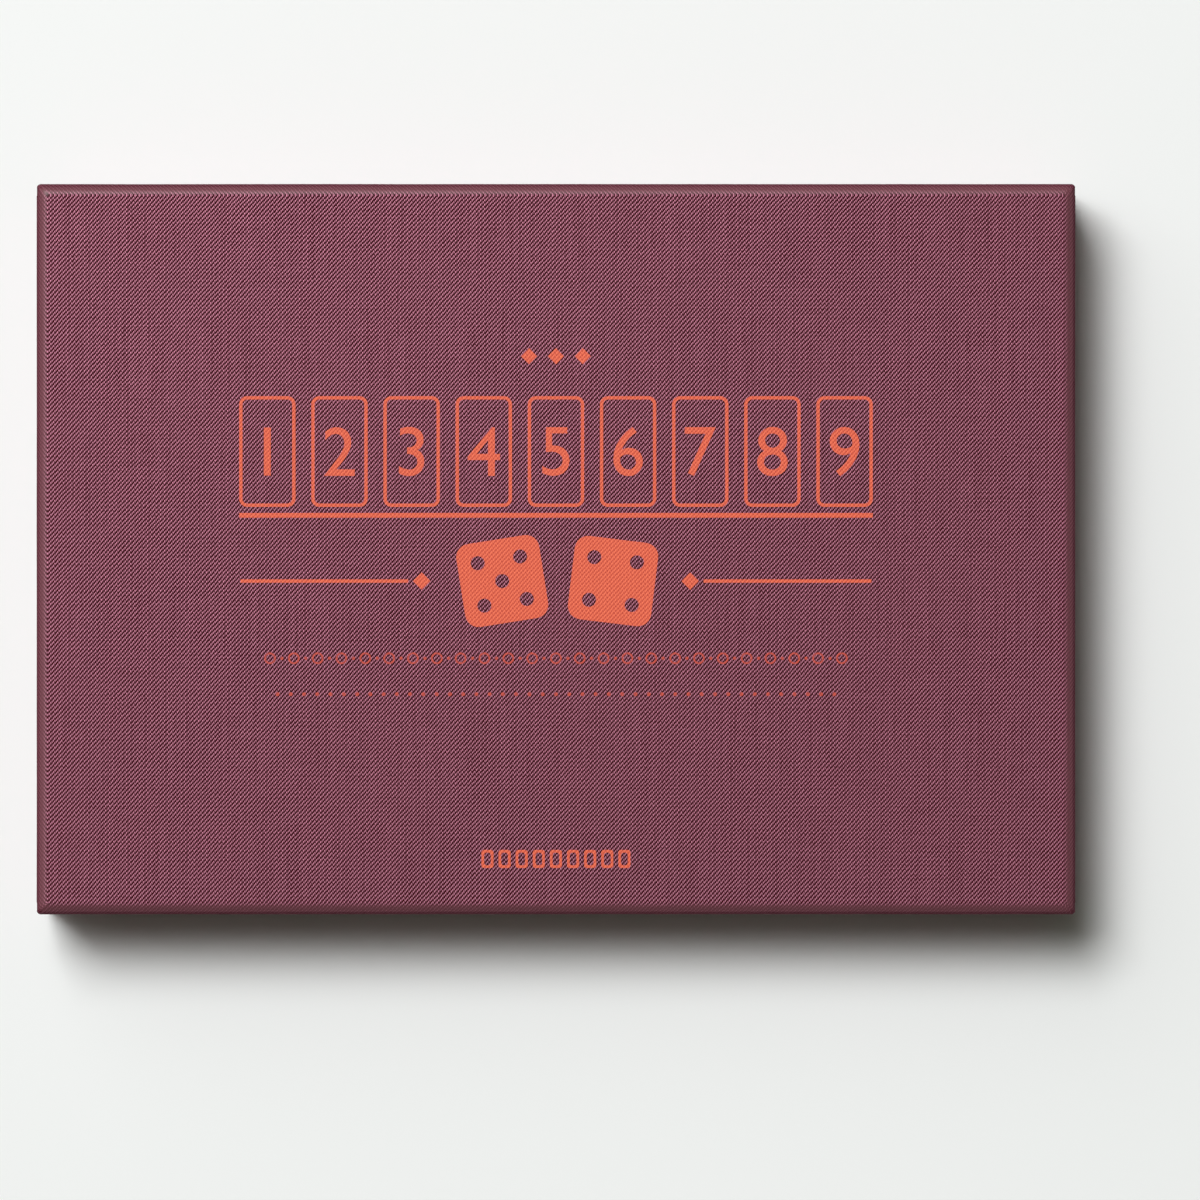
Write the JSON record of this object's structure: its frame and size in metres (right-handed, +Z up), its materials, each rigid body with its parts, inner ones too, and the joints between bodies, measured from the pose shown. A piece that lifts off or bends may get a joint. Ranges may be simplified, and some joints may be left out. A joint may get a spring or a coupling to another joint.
{
  "type": "shut the box game",
  "caption": "Rectangular cloth-covered game box with a lift-off lid, over a felt-lined wooden tray with hinged number tiles and loose dice.",
  "frame": {"origin": "middle of the underside of the closed box", "axes": "+X along the long side, to the right in the picture; +Y to the back, the picture's top; +Z up through the lid"},
  "size_m": [0.31, 0.218, 0.046],
  "materials": {
    "book_cloth": "plum twill book cloth, matt",
    "greyboard": "grey recycled board",
    "stay_paper": "kraft paper tape",
    "lining_paper": "uncoated dyed paper",
    "bottom_paper": "uncoated dark paper",
    "plywood": "birch plywood",
    "rail_wood": "oiled walnut",
    "tile_wood": "satin beech",
    "steel": "drawn rod",
    "felt": "wool felt",
    "ivory": "polished"
  },
  "bodies": {
    "base": {"base_board": "greyboard", "base_corner_stays": "stay_paper", "base_cloth": "book_cloth", "base_infill": "greyboard", "base_bottom_sheet": "bottom_paper", "base_lining": "lining_paper", "tray_floor": "plywood", "front_rail": "rail_wood", "back_rail": "rail_wood", "left_rail": "rail_wood", "right_rail": "rail_wood", "hinge_comb": "rail_wood", "axle_rod": "steel", "play_felt": "felt", "bay_felt": "felt"},
    "lid": {"lid_board": "greyboard", "lid_corner_stays": "stay_paper", "lid_cloth": "book_cloth", "lid_lining": "lining_paper"},
    "tile_1": {"tile_1": "tile_wood"},
    "tile_2": {"tile_2": "tile_wood"},
    "tile_3": {"tile_3": "tile_wood"},
    "tile_4": {"tile_4": "tile_wood"},
    "tile_5": {"tile_5": "tile_wood"},
    "tile_6": {"tile_6": "tile_wood"},
    "tile_7": {"tile_7": "tile_wood"},
    "tile_8": {"tile_8": "tile_wood"},
    "tile_9": {"tile_9": "tile_wood"},
    "die_1": {"die_1": "ivory"},
    "die_2": {"die_2": "ivory"}
  },
  "joints": [
    {"name": "lid_lift", "type": "slide", "parent": "base", "child": "lid", "axis": [0, 0, 1], "range_m": [0, 0.1]},
    {"name": "tile_1_hinge", "type": "hinge", "parent": "base", "child": "tile_1", "pos_m": [-0.12036, 0.0621, 0.0134], "axis": [1, 0, 0], "range_deg": [0, 180]},
    {"name": "tile_2_hinge", "type": "hinge", "parent": "base", "child": "tile_2", "pos_m": [-0.09027, 0.0621, 0.0134], "axis": [1, 0, 0], "range_deg": [0, 180]},
    {"name": "tile_3_hinge", "type": "hinge", "parent": "base", "child": "tile_3", "pos_m": [-0.06018, 0.0621, 0.0134], "axis": [1, 0, 0], "range_deg": [0, 180]},
    {"name": "tile_4_hinge", "type": "hinge", "parent": "base", "child": "tile_4", "pos_m": [-0.03009, 0.0621, 0.0134], "axis": [1, 0, 0], "range_deg": [0, 180]},
    {"name": "tile_5_hinge", "type": "hinge", "parent": "base", "child": "tile_5", "pos_m": [0, 0.0621, 0.0134], "axis": [1, 0, 0], "range_deg": [0, 180]},
    {"name": "tile_6_hinge", "type": "hinge", "parent": "base", "child": "tile_6", "pos_m": [0.03009, 0.0621, 0.0134], "axis": [1, 0, 0], "range_deg": [0, 180]},
    {"name": "tile_7_hinge", "type": "hinge", "parent": "base", "child": "tile_7", "pos_m": [0.06018, 0.0621, 0.0134], "axis": [1, 0, 0], "range_deg": [0, 180]},
    {"name": "tile_8_hinge", "type": "hinge", "parent": "base", "child": "tile_8", "pos_m": [0.09027, 0.0621, 0.0134], "axis": [1, 0, 0], "range_deg": [0, 180]},
    {"name": "tile_9_hinge", "type": "hinge", "parent": "base", "child": "tile_9", "pos_m": [0.12036, 0.0621, 0.0134], "axis": [1, 0, 0], "range_deg": [0, 180]},
    {"name": "die_1_lift", "type": "slide", "parent": "base", "child": "die_1", "axis": [0, 0, 1], "range_m": [0, 0.016]},
    {"name": "die_2_lift", "type": "slide", "parent": "base", "child": "die_2", "axis": [0, 0, 1], "range_m": [0, 0.016]}
  ]
}
